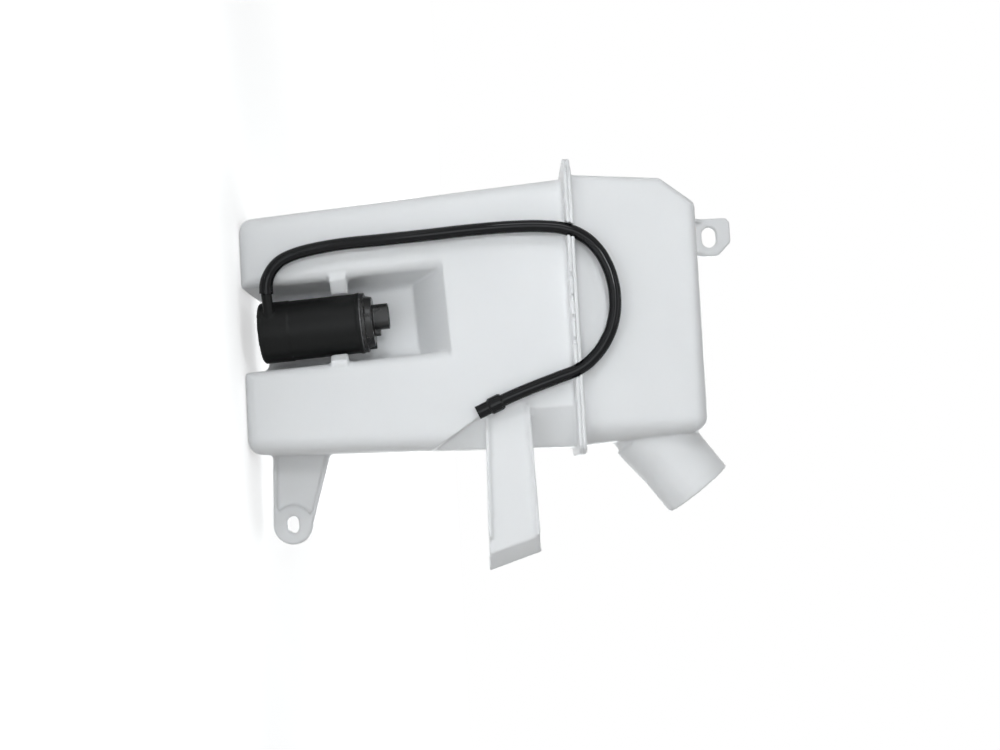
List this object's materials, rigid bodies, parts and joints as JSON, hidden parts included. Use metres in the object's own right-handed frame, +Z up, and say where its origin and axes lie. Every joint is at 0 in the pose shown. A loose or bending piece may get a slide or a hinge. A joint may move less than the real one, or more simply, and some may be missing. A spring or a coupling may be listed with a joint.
{
  "type": "washer fluid reservoir",
  "caption": "Natural plastic washer fluid reservoir in two welded halves, with a clip-in motor pump, delivery hose, angled filler neck, bolt leg, bolt tab and locating strap",
  "frame": {"origin": "Middle of the box of the tank, on the plane of its two feet", "axes": "+Z up, to the tab at the top; -Y the front with the pump pocket; +X the side of the neck, strap and leg"},
  "size_m": [0.2838, 0.105, 0.3535],
  "materials": {
    "natural_plastic": "satin translucent natural polypropylene",
    "black_plastic": "satin black moulding",
    "pale_plastic": "plain moulding",
    "black_rubber": "smooth black rubber",
    "steel": "plain steel",
    "bronze": "plain copper alloy",
    "copper": "plain copper",
    "ferrite": "pressed ferrite or carbon",
    "card": "laminated card"
  },
  "bodies": {
    "reservoir": {"tank_lower": "natural_plastic", "tank_upper": "natural_plastic", "inlet_grommet": "black_rubber", "pump_housing": "black_plastic", "chamber_cover": "black_plastic", "suction_plate": "black_plastic", "shaft_seal": "black_rubber", "lower_bearing": "bronze", "motor_can": "steel", "magnet_front": "ferrite", "magnet_rear": "ferrite", "brush_card": "card", "brush_left": "ferrite", "brush_right": "ferrite", "brush_spring_left": "steel", "brush_spring_right": "steel", "upper_bearing": "bronze", "cap_seal": "black_rubber", "pump_cap": "black_plastic", "terminal_blades": "bronze", "hose": "black_rubber", "hose_joint": "black_rubber"},
    "rotor": {"impeller": "pale_plastic", "armature_core": "steel", "armature_windings": "copper", "commutator": "copper", "motor_shaft": "steel"}
  },
  "joints": [
    {"name": "rotor_spin", "type": "hinge", "parent": "reservoir", "child": "rotor", "pos_m": [-0.03446, -0.02175, 0.04993], "axis": [-0.0523, 0, 0.9986], "continuous": true}
  ]
}
